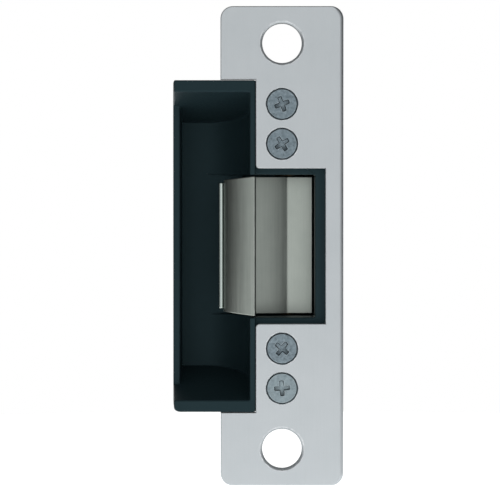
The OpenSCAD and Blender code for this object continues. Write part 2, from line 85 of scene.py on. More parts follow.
LOG = logging.getLogger("strike")
MM = 0.001
TAU = 2 * math.pi


class Body(Enum):
    """The CAD bodies that pieces ride on."""

    ROOT = "root"
    JAW = "jaw"
    LEVER = "lever"
    PLUNGER = "plunger"


class Axis(Enum):
    """The axis that a turned piece stands on, as (first across, second across, along)."""

    X = (1, 2, 0)
    Y = (0, 2, 1)
    Z = (0, 1, 2)


class Head(Enum):
    """The shapes of screw head."""

    COUNTERSUNK = "countersunk"
    PAN = "pan"


class Pattern(Enum):
    """The kinds of relief that a finish leaves on a surface."""

    GRAIN = "grain"
    CELLS = "cells"


# Colour and nodes


def linear(colour: str) -> tuple[float, float, float, float]:
    """Turns an sRGB hex colour into linear light.

    Args:
        colour: "#rrggbb".

    Returns:
        Red, green, blue and an alpha of 1.
    """
    parts = np.array([int(colour[i : i + 2], 16) for i in (1, 3, 5)]) / 255
    light = np.where(parts <= 0.04045, parts / 12.92, ((parts + 0.055) / 1.055) ** 2.4)
    return (*light.tolist(), 1.0)


class Graph:
    """A node tree that is written one node at a time."""

    def __init__(self, tree: bpy.types.NodeTree) -> None:
        """Empties the tree and keeps it."""
        self.tree = tree
        tree.nodes.clear()

    def add(
        self, kind: str, feeds: dict | None = None, stops: tuple = (), **settings: Any
    ) -> bpy.types.Node:
        """Adds a node.

        Args:
            kind: Blender's name for the node's type.
            feeds: for each input, by name or number, a value or the socket that drives it.
            stops: for a colour ramp, its (position, colour) pairs.
            settings: the node's other settings.

        Returns:
            The node.
        """
        node = self.tree.nodes.new(kind)
        for key, value in settings.items():
            setattr(node, key, value)
        for i, (position, colour) in enumerate(stops):
            ramp = node.color_ramp.elements
            stop = ramp[i] if i < len(ramp) else ramp.new(position)
            stop.position = position
            stop.color = colour
        for key, value in (feeds or {}).items():
            socket = node.inputs[key]
            if isinstance(value, bpy.types.NodeSocket):
                self.tree.links.new(value, socket)
            else:
                socket.default_value = value
        return node

    def noise(
        self, place: bpy.types.NodeSocket, scale: float, detail: float, roughness: float
    ) -> bpy.types.NodeSocket:
        """Adds fractal noise.

        Args:
            place: coordinates.
            scale: how many patches fit in one unit of them.
            detail: how many finer layers it has.
            roughness: strength of each layer against the one before.

        Returns:
            A value from 0 to 1.
        """
        feeds = {"Vector": place, "Scale": scale, "Detail": detail, "Roughness": roughness}
        return self.add("ShaderNodeTexNoise", feeds).outputs["Fac"]

    def remap(
        self, value: bpy.types.NodeSocket, low: float, high: float, to_low: float = 0.0, to_high: float = 1.0
    ) -> bpy.types.NodeSocket:
        """Maps low to to_low and high to to_high in a straight line, and holds values beyond them.

        Args:
            value: what is mapped.
            low: its value that gives to_low.
            high: its value that gives to_high.
            to_low: the result at low.
            to_high: the result at high.

        Returns:
            The mapped value.
        """
        feeds = {"Value": value, "From Min": low, "From Max": high, "To Min": to_low, "To Max": to_high}
        return self.add("ShaderNodeMapRange", feeds).outputs[0]

    def mix(self, share: Any, first: Any, second: Any, blend: str = "MIX") -> bpy.types.NodeSocket:
        """Mixes two colours.

        Args:
            share: how much of the second shows, 0 to 1.
            first: the first colour.
            second: the second colour.
            blend: Blender's name for the way they mix.

        Returns:
            The mixed colour.
        """
        feeds = {"Factor": share, 6: first, 7: second}
        return self.add("ShaderNodeMix", feeds, data_type="RGBA", blend_type=blend).outputs[2]


def grey(value: float) -> tuple[float, float, float, float]:
    """A grey of the given linear value."""
    return (value, value, value, 1.0)


# Finishes

EDGE_WEAR_AND_HIGHLIGHT_R = 0.45  # how far the edge wear and painted edge highlight reach from an edge, mm
EDGE_WEAR_AND_HIGHLIGHT_GAP = 1.6  # size of the gaps along an edge without that edge colour, mm
PAINTED_HIGHLIGHT_COLOUR = "#b9c4c0"  # painted highlight: paler colour that stands for the bright line of light along the jaw's bead
BURNISHED_ROUGHNESS = 0.22
POLISH_AND_HIGHLIGHT_FADE = 0.2  # width over which the bead's polish and painted highlight set in, mm
COAT_ROUGHNESS = 0.2


@dataclass(frozen=True)
class Finish:
    """A material and how its surface was made.

    Attributes:
        name: the material's common name and its process.
        colour: main colour, sRGB hex.
        drift: colour that slow patches drift towards.
        patch: size of those patches, mm.
        roughness: lowest and highest roughness.
        metallic: 1 for bare metal.
        grain: size of the surface's grain along X, Y and Z, mm.
        relief: height of the grain, mm.
        streak: how far the grain darkens the colour, 0 to 1.
        pattern: the kind of relief.
        edge_wear_and_highlight: colour of edges scuffed bare, made pale enough to paint a highlight along
            them too, or empty for none.
        edge_wear_and_highlight_share: how far that edge colour shows, 0 to 1.
        ior: index of refraction, of a material that isn't metal.
        coat: weight of a clear coat.
        specular: strength of the surface's own gloss, of a material that isn't metal.
        tint: colour of that gloss.
        polish_and_highlight_x: the X, in mm, below which the surface is polished smoother and painted paler
            as a highlight, or None.
    """

    name: str
    colour: str
    drift: str
    patch: float
    roughness: tuple[float, float]
    metallic: float = 0.0
    grain: tuple[float, float, float] = (0.4, 0.4, 0.4)
    relief: float = 0.004
    streak: float = 0.1
    pattern: Pattern = Pattern.GRAIN
    edge_wear_and_highlight: str = ""
    edge_wear_and_highlight_share: float = 0.0
    ior: float = 1.5
    coat: float = 0.0
    specular: float = 0.5
    tint: str = "#ffffff"
    polish_and_highlight_x: float | None = None

    def relief_socket(self, graph: Graph, place: bpy.types.NodeSocket) -> bpy.types.NodeSocket:
        """Adds the pattern of the surface's grain.

        Args:
            graph: the material's tree.
            place: coordinates, in metres.

        Returns:
            A height from 0 to 1.
        """
        scale = tuple(1 / (size * MM) for size in self.grain)
        stretched = graph.add("ShaderNodeMapping", {"Vector": place, "Scale": scale}).outputs[0]
        if self.pattern is Pattern.CELLS:
            feeds = {"Vector": stretched, "Scale": 1.0}
            return graph.add("ShaderNodeTexVoronoi", feeds, feature="SMOOTH_F1").outputs["Distance"]
        return graph.noise(stretched, 1.0, 4.0, 0.6)

    def edge_socket(self, graph: Graph) -> bpy.types.NodeSocket:
        """Adds a mask of the outer edges: where the rounded normal leaves the real one."""
        rounded = graph.add("ShaderNodeBevel", {"Radius": EDGE_WEAR_AND_HIGHLIGHT_R * MM}, samples=4)
        real = graph.add("ShaderNodeNewGeometry")
        normals = {0: rounded.outputs[0], 1: real.outputs["Normal"]}
        agree = graph.add("ShaderNodeVectorMath", normals, operation="DOT_PRODUCT").outputs["Value"]
        stops = ((0.80, grey(1.0)), (0.99, grey(0.0)))
        return graph.add("ShaderNodeValToRGB", {"Fac": agree}, stops=stops).outputs[0]

    def material(self) -> bpy.types.Material:
        """Builds the material, or returns it if it has been built.

        Returns:
            The material, with slow patches of colour, fine grain and, where set, edges scuffed bare and
            painted pale as a highlight.
        """
        if self.name in bpy.data.materials:
            return bpy.data.materials[self.name]
        made = bpy.data.materials.new(self.name)
        made.use_nodes = True
        graph = Graph(made.node_tree)
        place = graph.add("ShaderNodeTexCoord").outputs["Object"]
        height = self.relief_socket(graph, place)
        patches = graph.noise(place, 1 / (self.patch * MM), 3.0, 0.55)
        colour = graph.mix(patches, linear(self.colour), linear(self.drift))
        shade = graph.remap(height, 0.25, 0.75, 1 - self.streak)
        colour = graph.mix(1.0, colour, shade, "MULTIPLY")
        rough = graph.remap(height, 0.3, 0.7, *self.roughness)
        # Edge wear and painted highlight: edges found by the Bevel node take the paler edge colour, in broken
        # patches.
        if self.edge_wear_and_highlight:
            broken = graph.noise(place, 1 / (EDGE_WEAR_AND_HIGHLIGHT_GAP * MM), 5.0, 0.7)
            gate = graph.remap(broken, 0.42, 0.62, 0.0, self.edge_wear_and_highlight_share)
            edge = {0: self.edge_socket(graph), 1: gate}
            amount = graph.add("ShaderNodeMath", edge, operation="MULTIPLY").outputs[0]
            colour = graph.mix(amount, colour, linear(self.edge_wear_and_highlight))
        # Painted highlight: below that X the colour turns paler for the bright line of light on the bead; the
        # lower roughness there is the bead's polish.
        if self.polish_and_highlight_x is not None:
            across = graph.add("ShaderNodeSeparateXYZ", {0: place}).outputs["X"]
            polish_and_highlight = graph.remap(across, self.polish_and_highlight_x * MM, (self.polish_and_highlight_x - POLISH_AND_HIGHLIGHT_FADE) * MM)
            colour = graph.mix(polish_and_highlight, colour, linear(PAINTED_HIGHLIGHT_COLOUR))
            feeds = {"Factor": polish_and_highlight, 2: rough, 3: BURNISHED_ROUGHNESS}
            rough = graph.add("ShaderNodeMix", feeds).outputs[0]
        bump = graph.add("ShaderNodeBump", {"Height": height, "Distance": self.relief * MM, "Strength": 1.0})
        shader = graph.add(
            "ShaderNodeBsdfPrincipled",
            {"Base Color": colour, "Roughness": rough, "Metallic": self.metallic, "Normal": bump.outputs[0]},
        )
        if not self.metallic:
            shader.inputs["IOR"].default_value = self.ior
            shader.inputs["Specular IOR Level"].default_value = self.specular
            shader.inputs["Specular Tint"].default_value = linear(self.tint)
        if self.coat:
            shader.inputs["Coat Weight"].default_value = self.coat
            shader.inputs["Coat Roughness"].default_value = COAT_ROUGHNESS
        graph.add("ShaderNodeOutputMaterial", {"Surface": shader.outputs[0]})
        return made


# Satin stainless sheet, brushed up its length: even grey with a soft vertical
# sheen. The brush lines of 0.05 mm are drawn 0.16 mm apart so that they show.
# Its edges are painted near white: a painted highlight along them, with a little scuffing.
SATIN_STAINLESS = Finish(
    "satin_stainless_brushed", "#b9bec1", "#b1b7ba", 9, (0.36, 0.46), 1.0,
    grain=(0.16, 0.16, 14), relief=0.0012, streak=0.07, edge_wear_and_highlight="#e6e8ea", edge_wear_and_highlight_share=0.9,
)
# Zinc die casting with black powder coat: almost no gloss, a fine orange peel
# and a slight blue-green cast.
BLACK_COAT = Finish(
    "zinc_casting_black_powder_coat", "#19272b", "#1e2c30", 14, (0.4, 0.52),
    grain=(0.5, 0.5, 0.5), relief=0.008, streak=0.12, edge_wear_and_highlight="#36484d", edge_wear_and_highlight_share=0.3, specular=0.22, tint="#b4e0ec",
)
# Cast stainless jaw, linished up its length: darker and warmer than the plate,
# with lines of uneven depth 0.25 mm apart.
# Its bead, below x = -15.1 mm, is polished smoother and painted paler as a highlight.
LINISHED_CASTING = Finish(
    "stainless_casting_linished", "#a9afa9", "#9aa29c", 5, (0.3, 0.44), 1.0,
    grain=(0.25, 0.25, 20), relief=0.003, streak=0.16, edge_wear_and_highlight="#d8dcd9", edge_wear_and_highlight_share=0.45, polish_and_highlight_x=-15.1,
)
# Zinc plate with blue passivation over a forged head: blue-grey, cloudy, and
# rough where the die left its scale.
BLUE_ZINC = Finish(
    "steel_blue_zinc_plated", "#a3b2ba", "#5f6f78", 1.0, (0.26, 0.5), 1.0,
    grain=(0.55, 0.55, 0.55), relief=0.09, streak=0.6, edge_wear_and_highlight="#c4cdd1", edge_wear_and_highlight_share=0.6,
)
# The same plate with less scale and paler clouds: a paler copy that paints the lowest plate screw brighter,
# standing for the brighter light near the bottom.
PAINTED_PALER_ZINC = Finish(
    "steel_zinc_plated_painted_paler", "#a0aeb3", "#74838a", 1.0, (0.26, 0.44), 1.0,
    grain=(0.55, 0.55, 0.55), relief=0.05, streak=0.4, edge_wear_and_highlight="#d4dadc", edge_wear_and_highlight_share=0.5,
)
# Hardened dowel, centreless ground: bright, with fine lines round it.
GROUND_STEEL = Finish(
    "dowel_steel_ground", "#c3c7c9", "#b6babd", 4, (0.16, 0.26), 1.0,
    grain=(3, 3, 0.1), relief=0.0008, streak=0.06,
)
# Spring steel rings, phosphated: dull charcoal that holds oil.
PHOSPHATE_STEEL = Finish(
    "spring_steel_phosphated", "#45494b", "#383c3e", 1.2, (0.45, 0.62), 1.0,
    grain=(0.12, 0.12, 0.12), relief=0.004, streak=0.25,
)
# Hard-drawn spring wire: cool grey with draw lines along it.
DRAWN_WIRE = Finish(
    "spring_wire_drawn", "#9aa0a5", "#858b90", 1.5, (0.24, 0.36), 1.0,
    grain=(0.1, 0.1, 0.1), relief=0.002, streak=0.15,
)
# Phosphor bronze washer, stamped: warm brown gold that has started to darken.
BRONZE = Finish(
    "phosphor_bronze_stamped", "#7d6a4c", "#66563d", 2, (0.3, 0.44), 1.0,
    grain=(0.2, 0.2, 0.2), relief=0.003, streak=0.14,
)
# Steel lever, stamped and case hardened: grey with straw patches.
STAMPED_STEEL = Finish(
    "steel_stamped_case_hardened", "#a09b92", "#7f858b", 3, (0.3, 0.46), 1.0,
    grain=(0.3, 0.3, 0.3), relief=0.004, streak=0.16, edge_wear_and_highlight="#cfd2d3", edge_wear_and_highlight_share=0.5,
)
# Solenoid frame, zinc sheet finish: pale grey with a fine spangle.
ZINC_SHEET = Finish(
    "steel_sheet_zinc_coated", "#a3aaae", "#8f979c", 2.5, (0.34, 0.48), 1.0,
    grain=(1.1, 1.1, 1.1), relief=0.003, streak=0.12, pattern=Pattern.CELLS, edge_wear_and_highlight="#cdd2d4", edge_wear_and_highlight_share=0.4,
)
# Glass-filled nylon bobbin, moulded: matt charcoal with short fibres.
GLASS_NYLON = Finish(
    "nylon_glass_filled_moulded", "#3a4145", "#30363a", 3, (0.46, 0.6),
    grain=(0.25, 0.25, 0.25), relief=0.006, streak=0.14, ior=1.53,
)
# Enamelled copper wire, wound in layers: each turn a glossy amber ridge.
ENAMELLED_COPPER = Finish(
    "copper_wire_enamelled", "#b5622f", "#93471f", 3, (0.18, 0.3), 1.0,
    grain=(0.6, 0.6, 0.6), relief=0.003, streak=0.16, coat=0.6,
)
# Polyester tape: thin amber film, glossy, with small wrinkles.
POLYESTER_TAPE = Finish(
    "polyester_tape_wrapped", "#d8bf5c", "#c9ad49", 4, (0.14, 0.26),
    grain=(2.5, 0.7, 2.5), relief=0.02, streak=0.1, ior=1.6, coat=0.3,
)
# Soft iron core, turned and nickel plated: bright, with tool lines round it.
NICKELLED_IRON = Finish(
    "soft_iron_turned_nickelled", "#bdbcb4", "#aeada5", 3, (0.18, 0.3), 1.0,
    grain=(3, 0.12, 3), relief=0.0012, streak=0.08,
)
# Drawn brass rod: yellow with faint lines along it.
DRAWN_BRASS = Finish(
    "brass_rod_drawn", "#c7a257", "#b08a44", 2, (0.2, 0.32), 1.0,
    grain=(0.15, 5, 0.15), relief=0.0015, streak=0.1,
)
# Rear cap, moulded in black ABS: spark-eroded texture of 0.45 mm.
SPARK_MOULDING = Finish(
    "abs_black_spark_texture_moulded", "#22292c", "#1c2326", 12, (0.46, 0.6),
    grain=(0.45, 0.45, 0.45), relief=0.02, streak=0.14, pattern=Pattern.CELLS,
    edge_wear_and_highlight="#3c464a", edge_wear_and_highlight_share=0.5, ior=1.54,
)
# Green solder mask over glass laminate: glossy, with the weave faintly raised.
SOLDER_MASK = Finish(
    "glass_laminate_green_solder_mask", "#1f5c3a", "#19502f", 3, (0.2, 0.32),
    grain=(0.6, 0.6, 0.6), relief=0.006, streak=0.16, pattern=Pattern.CELLS, ior=1.55, coat=0.5,
)
# Transfer-moulded epoxy: soft black.
EPOXY = Finish(
    "epoxy_black_transfer_moulded", "#26292b", "#1e2123", 1.2, (0.4, 0.52),
    grain=(0.14, 0.14, 0.14), relief=0.004, streak=0.15, ior=1.57,
)
# Natural nylon connector shell: warm translucent white with flow marks.
NATURAL_NYLON = Finish(
    "nylon_natural_moulded", "#e4dfd0", "#d8d2bf", 2.5, (0.32, 0.44),
    grain=(0.5, 0.5, 0.5), relief=0.006, streak=0.06, ior=1.53,
)
# Tin-brass contact, stamped and plated: pale gold.
PLATED_CONTACT = Finish(
    "brass_contact_tin_plated", "#d0c08c", "#bfae78", 1, (0.18, 0.28), 1.0,
    grain=(0.12, 2, 0.12), relief=0.0015, streak=0.1,
)
# PVC lead insulation, extruded: soft red sheen with fine die lines.
PVC_RED = Finish(
    "pvc_lead_extruded_red", "#a3231c", "#8d1c17", 3, (0.3, 0.42),
    grain=(0.14, 0.14, 3), relief=0.003, streak=0.1, ior=1.54,
)


# Meshes worked out with numpy


def make_piece(name: str, points: np.ndarray, faces: list) -> bpy.types.Object:
    """Makes an object from arrays, with its faces smooth and pointing outwards.

    Args:
        name: the piece's name.
        points: (n, 3) positions, metres.
        faces: lists of point numbers.

    Returns:
        The object, at the origin.
    """
    mesh = bpy.data.meshes.new(name)
    mesh.from_pydata(points.tolist(), [], faces)
    shape = bmesh.new()
    shape.from_mesh(mesh)
    bmesh.ops.remove_doubles(shape, verts=shape.verts, dist=1e-7)
    bmesh.ops.recalc_face_normals(shape, faces=shape.faces)
    shape.to_mesh(mesh)
    shape.free()
    mesh.polygons.foreach_set("use_smooth", np.ones(len(mesh.polygons), bool))
    mesh.set_sharp_from_angle(angle=math.radians(38))
    piece = bpy.data.objects.new(name, mesh)
    bpy.context.scene.collection.objects.link(piece)
    return piece


def grid_faces(n: int, m: int, closed: bool = False) -> np.ndarray:
    """Quads between n rings of m points.

    Args:
        n: how many rings there are.
        m: points in each.
        closed: whether the last ring joins the first.

    Returns:
        (count, 4) point numbers, ring by ring.
    """
    i, j = np.meshgrid(np.arange(n if closed else n - 1), np.arange(m), indexing="ij")
    after_i, after_j = (i + 1) % n, (j + 1) % m
    return np.stack([i * m + j, i * m + after_j, after_i * m + after_j, after_i * m + j], -1).reshape(-1, 4)


def skin(name: str, rings: np.ndarray, closed: bool = False) -> bpy.types.Object:
    """Joins rings of points into a closed surface.

    Point (i, j) joins (i + 1, j) and (i, j + 1), counting j round its ring. An
    open row of rings is closed with a fan to the middle of each end ring.

    Args:
        name: the piece's name.
        rings: (n, m, 3) positions.
        closed: whether the last ring joins the first.

    Returns:
        The object.
    """
    n, m, _ = rings.shape
    points = rings.reshape(-1, 3)
    faces = grid_faces(n, m, closed).tolist()
    if not closed:
        points = np.vstack([points, rings[0].mean(0), rings[-1].mean(0)])
        ring = np.arange(m)
        turn = (ring + 1) % m
        start = np.stack([np.full(m, n * m), turn, ring], -1)
        end = np.stack([np.full(m, n * m + 1), (n - 1) * m + ring, (n - 1) * m + turn], -1)
        faces += start.tolist() + end.tolist()
    return make_piece(name, points, faces)


def turned(
    name: str, profile: list, at: tuple[float, float], axis: Axis, sides: int = 64, closed: bool = False
) -> bpy.types.Object:
    """Turns a profile about an axis: radius r at height h gives (r cos t, r sin t, h).

    Args:
        name: the piece's name.
        profile: (height, radius) pairs, in mm.
        at: where the axis stands in the two directions across it, in mm.
        axis: the axis.
        sides: points round each ring.
        closed: whether the profile is a loop, as on a ring or a tube.

    Returns:
        The object.
    """
    height, radius = np.array(profile, float).T
    angle = np.linspace(0, TAU, sides, endpoint=False)
    rings = np.empty((len(height), sides, 3))
    first, second, along = axis.value
    rings[..., first] = at[0] + radius[:, None] * np.cos(angle)
    rings[..., second] = at[1] + radius[:, None] * np.sin(angle)
    rings[..., along] = height[:, None]
    return skin(name, rings * MM, closed)


def rounded_profile(corners: list, radius: float, steps: int = 5) -> list:
    """Rounds the corners of a profile with quadratic curves.

    Each corner c between neighbours a and b becomes the curve
    (1 - t)^2 p + 2 t (1 - t) c + t^2 q, where p and q lie radius from c
    towards a and b. The first and last points stay.

    Args:
        corners: (height, radius) pairs.
        radius: how far a curve starts from its corner, at most 0.45 of an edge.
        steps: points per corner, less one.

    Returns:
        The rounded profile.
    """
    made = [tuple(corners[0])]
    t = np.linspace(0, 1, steps + 1)[:, None]
    for before, corner, after in zip(corners, corners[1:], corners[2:]):
        a, c, b = (np.array(p, float) for p in (before, corner, after))
        reach_a = min(radius, 0.45 * np.linalg.norm(a - c)) / max(np.linalg.norm(a - c), 1e-9)
        reach_b = min(radius, 0.45 * np.linalg.norm(b - c)) / max(np.linalg.norm(b - c), 1e-9)
        p, q = c + (a - c) * reach_a, c + (b - c) * reach_b
        made += [tuple(v) for v in ((1 - t) ** 2 * p + 2 * t * (1 - t) * c + t**2 * q)]
    return [*made, tuple(corners[-1])]


def rounded_loop(corners: list, radius: float, steps: int = 4) -> list:
    """Rounds every corner of a closed profile."""
    wrapped = [corners[-1], *corners, corners[0]]
    return rounded_profile(wrapped, radius, steps)[1:-1]


def pin_profile(low: float, high: float, radius: float, chamfer: float, rounding: float) -> list:
    """The profile of a plain pin with chamfered ends.

    Args:
        low: height of its lower end, mm.
        high: height of its upper end, mm.
        radius: of the pin, mm.
        chamfer: of its ends, mm.
        rounding: of the chamfers' corners, mm.

    Returns:
        (height, radius) pairs, mm.
    """
    centre_r = 0.6 * radius
    ends = [
        (low, centre_r), (low, radius - chamfer), (low + chamfer, radius),
        (high - chamfer, radius), (high, radius - chamfer), (high, centre_r),
    ]
    return rounded_profile(ends, rounding)


def smooth_path(points: np.ndarray, count: int) -> np.ndarray:
    """Resamples a path at even spacing along a Catmull-Rom curve through its points.

    Args:
        points: (n, 3) positions.
        count: how many points to return.

    Returns:
        (count, 3) positions.
    """
    padded = np.vstack([2 * points[0] - points[1], points, 2 * points[-1] - points[-2]])
    steps_per_span = 12
    t = np.linspace(0, 1, steps_per_span, endpoint=False)[:, None, None]
    a, b, c, d = padded[:-3], padded[1:-2], padded[2:-1], padded[3:]
    curve = 0.5 * (2 * b + (c - a) * t + (2 * a - 5 * b + 4 * c - d) * t**2 + (3 * b - a - 3 * c + d) * t**3)
    curve = np.vstack([curve.transpose(1, 0, 2).reshape(-1, 3), points[-1]])
    length = np.concatenate([[0], np.cumsum(np.linalg.norm(np.diff(curve, axis=0), axis=1))])
    even = np.linspace(0, length[-1], count)
    return np.stack([np.interp(even, length, curve[:, k]) for k in range(3)], -1)


def wire(name: str, path: np.ndarray, radius: float, across: tuple, sides: int = 12) -> bpy.types.Object:
    """Carries a circle along a path and rounds its two ends.

    At each point the circle lies in the plane of side = along x across and
    top = side x along; at the ends its radius falls as a flattened quarter circle.

    Args:
        name: the piece's name.
        path: (n, 3) positions, mm.
        radius: of the wire, mm.
        across: a direction that the path never runs in.
        sides: points round the wire.

    Returns:
        The object.
    """
    along = np.gradient(path, axis=0)
    along /= np.linalg.norm(along, axis=1, keepdims=True)
    lift = np.radians([90, 60, 30])
    bulge, tip = 0.6, 0.05  # how far an end stands out and the size of its last ring, in radii
    first = path[0] - along[0] * radius * np.sin(lift)[:, None] * bulge
    last = path[-1] + along[-1] * radius * np.sin(lift[::-1])[:, None] * bulge
    size = np.concatenate([np.cos(lift) + tip, np.ones(len(path)), np.cos(lift[::-1]) + tip]) * radius
    points = np.vstack([first, path, last])
    along = np.vstack([np.repeat(along[:1], 3, 0), along, np.repeat(along[-1:], 3, 0)])
    side = np.cross(along, np.array(across, float))
    side /= np.linalg.norm(side, axis=1, keepdims=True)
    top = np.cross(side, along)
    angle = np.linspace(0, TAU, sides, endpoint=False)[None, :, None]
    circle = np.cos(angle) * side[:, None] + np.sin(angle) * top[:, None]
    rings = points[:, None] + size[:, None, None] * circle
    return skin(name, rings * MM)


def helix(
    at: tuple[float, float], radius: float, low: float, high: float, turns: float, start: float, axis: Axis
) -> np.ndarray:
    """Points of a coil: (radius cos t, radius sin t) across the axis, climbing evenly.

    Args:
        at: where the axis stands across it, mm.
        radius: of the coil's middle line, mm.
        low: height of its first point, mm.
        high: height of its last point, mm.
        turns: negative to wind the other way.
        start: angle of the first point, degrees.
        axis: the coil's axis.

    Returns:
        (n, 3) positions, mm.
    """
    steps_per_turn = 36
    steps = int(abs(turns) * steps_per_turn) + 1
    angle = math.radians(start) + np.linspace(0, TAU * turns, steps)
    first, second, along = axis.value
    path = np.empty((steps, 3))
    path[:, first] = at[0] + radius * np.cos(angle)
    path[:, second] = at[1] + radius * np.sin(angle)
    path[:, along] = np.linspace(low, high, steps)
    return path


def ease(value: np.ndarray) -> np.ndarray:
    """Smooth step: 3 v^2 - 2 v^3, with v held between 0 and 1."""
    held = np.clip(value, 0, 1)
    return held * held * (3 - 2 * held)


@dataclass
class Screw:
    """A cross-recess machine screw that runs along Y.

    Attributes:
        at: (x, z) of its axis, mm.
        face: y of the top of its head, mm.
        into: 1 if the shank runs towards +Y, -1 towards -Y.
        head_r: head radius, mm.
        shank_r: thread's outer radius, mm.
        head_h: depth of the head's side, mm.
        length: from the head's face to the tip, mm.
        recess: width of the cross recess, mm.
        depth: depth of the cross recess, mm.
        turn: angle of the recess, degrees.
        head: the head's shape.
        pitch: of the thread, mm.
        detail: points round the head.
    """

    at: tuple[float, float]
    face: float
    into: int
    head_r: float
    shank_r: float
    head_h: float
    length: float
    recess: float
    depth: float
    turn: float
    head: Head = Head.COUNTERSUNK
    pitch: float = 0.8
    detail: int = 160

    def recess_depth(self, radius: np.ndarray, angle: np.ndarray) -> np.ndarray:
        """How far the recess goes in at each point of the head.

        Two crossed wings narrow a little outwards. With v the distance along a
        wing, as a share of the arm, its depth is depth times 1 - rise v^2, and
        its walls fall over wall times the arm. A round well joins the wings.

        Args:
            radius: distances from the screw's axis, mm.
            angle: angles about it.

        Returns:
            Depths, mm.
        """
        arm = self.recess / 2
        wing, narrowing, wall, rise = 0.23, 0.05, 0.08, 0.45  # in arms; rise is a share of the depth
        well_r, well_wall, well_depth = 0.22, 0.16, 0.98
        turned_angle = angle - math.radians(self.turn)
        u, v = radius * np.cos(turned_angle), radius * np.sin(turned_angle)
        wings = []
        for along, over in ((u, v), (v, u)):
            reach = np.abs(along) / arm
            half = arm * (wing - narrowing * reach)
            side = 1 - ease((np.abs(over) - half) / (wall * arm))
            floor = (1 - rise * np.clip(reach, 0, 1) ** 2) * (1 - ease((reach - 1 + wall) / wall))
            wings.append(side * floor)
        well = 1 - ease((radius / arm - well_r) / well_wall)
        return self.depth * np.maximum(np.maximum(*wings), well * well_depth)

    def build(self, name: str) -> bpy.types.Object:
        """Builds the screw as one closed surface from the head's middle to the tip.

        Args:
            name: the piece's name.

        Returns:
            The object.
        """
        flat = self.head is Head.COUNTERSUNK
        rim = 0.08 * self.head_r
        top_r = self.head_r - 1.35 * rim if flat else 0.8 * self.head_r
        rings_in_head = int(self.detail * 0.42)
        r = np.linspace(0.02, top_r, rings_in_head)
        crown = 0.0 if flat else 0.22 * self.head_h
        h = crown * (r / top_r) ** 2
        if flat:
            side = [
                (0.1 * rim, self.head_r - 1.12 * rim), (0.4 * rim, self.head_r - rim),
                (1.1 * rim, self.head_r - rim), (self.head_h, self.shank_r),
            ]
        else:
            side = [
                (0.4 * self.head_h, 0.93 * self.head_r), (0.7 * self.head_h, 0.99 * self.head_r),
                (0.92 * self.head_h, self.head_r), (self.head_h, 0.97 * self.head_r),
                (self.head_h, self.shank_r),
            ]
        h = np.concatenate([h, [p[0] for p in side]])
        r = np.concatenate([r, [p[1] for p in side]])
        thread = np.arange(self.head_h + 0.2, self.length - 0.9 * self.shank_r, self.pitch / 7)
        tip = self.length - self.shank_r * np.array([0.7, 0.45, 0.2, 0.0])
        h = np.concatenate([h, thread, tip])
        tip_r = self.shank_r * np.array([0.86, 0.8, 0.7, 0.5])
        r = np.concatenate([r, np.full(len(thread), self.shank_r), tip_r])
        angle = np.linspace(0, TAU, self.detail, endpoint=False)
        height = np.repeat(h[:, None], self.detail, 1)
        radius = np.repeat(r[:, None], self.detail, 1)
        height[:rings_in_head] += self.recess_depth(radius[:rings_in_head], angle[None, :])
        cut = slice(rings_in_head + len(side), rings_in_head + len(side) + len(thread))
        phase = (height[cut] / self.pitch - self.into * angle / TAU) % 1
        thread_depth = 0.32 * self.pitch
        radius[cut] -= thread_depth * (1 - np.abs(2 * phase - 1))
        rings = np.stack(
            [
                self.at[0] + radius * np.cos(angle),
                self.face + self.into * height,
                self.at[1] + radius * np.sin(angle),
            ],
            -1,
        )
        return skin(name, rings * MM)


def even_shading(piece: bpy.types.Object) -> None:
    """Lets large flat faces set the normals at their corners, so that they shade flat."""
    weighted = piece.modifiers.new("normals", "WEIGHTED_NORMAL")
    weighted.mode = "FACE_AREA"
    weighted.weight = 90
    weighted.keep_sharp = True


def inset_loop(loop: np.ndarray, distance: np.ndarray) -> np.ndarray:
    """Moves an anticlockwise outline inwards.

    Each point moves by d (n1 + n2) / (1 + n1 . n2), where n1 and n2 are the
    inward normals of the edges that meet there, so that both edges move by d.

    Args:
        loop: (n, 2) points.
        distance: how far each point's edges move.

    Returns:
        (n, 2) points.
    """
    ahead = np.roll(loop, -1, 0) - loop
    ahead /= np.linalg.norm(ahead, axis=1, keepdims=True)
    after = np.stack([-ahead[:, 1], ahead[:, 0]], -1)
    before = np.roll(after, 1, 0)
    shared = (before + after) / (1 + np.sum(before * after, 1))[:, None]
    return loop + shared * distance[:, None]


def arc(at: tuple, radius: float, start: float, end: float, steps: int) -> np.ndarray:
    """Points of a circle about at, from one angle to another, in degrees."""
    angle = np.radians(np.linspace(start, end, steps + 1))
    return np.stack([at[0] + radius * np.cos(angle), at[1] + radius * np.sin(angle)], -1)


def fill(loops: list, offsets: list, holes: list) -> list:
    """Triangulates the area inside the first loop and outside the others.

    Args:
        loops: (n, 2) outlines.
        offsets: the number of each loop's first point in the mesh.
        holes: (x, z, radius) of the round holes.

    Returns:
        Triangles of point numbers.
    """
    points = np.vstack(loops)
    numbers = np.concatenate([first + np.arange(len(loop)) for loop, first in zip(loops, offsets)])
    edges, start = [], 0
    for loop in loops:
        ring = start + np.arange(len(loop))
        edges += np.stack([ring, np.roll(ring, -1)], -1).tolist()
        start += len(loop)
    made = delaunay_2d_cdt([Vector(p) for p in points], edges, [], 1, 1e-6)
    faces = np.array(made[2])
    centres = np.array(made[0])[faces].mean(1)
    keep = np.ones(len(faces), bool)
    for x, z, radius in holes:
        keep &= np.hypot(centres[:, 0] - x, centres[:, 1] - z) > radius
    origin = np.array([source[0] for source in made[3]])
    return numbers[origin[faces[keep]]].tolist()


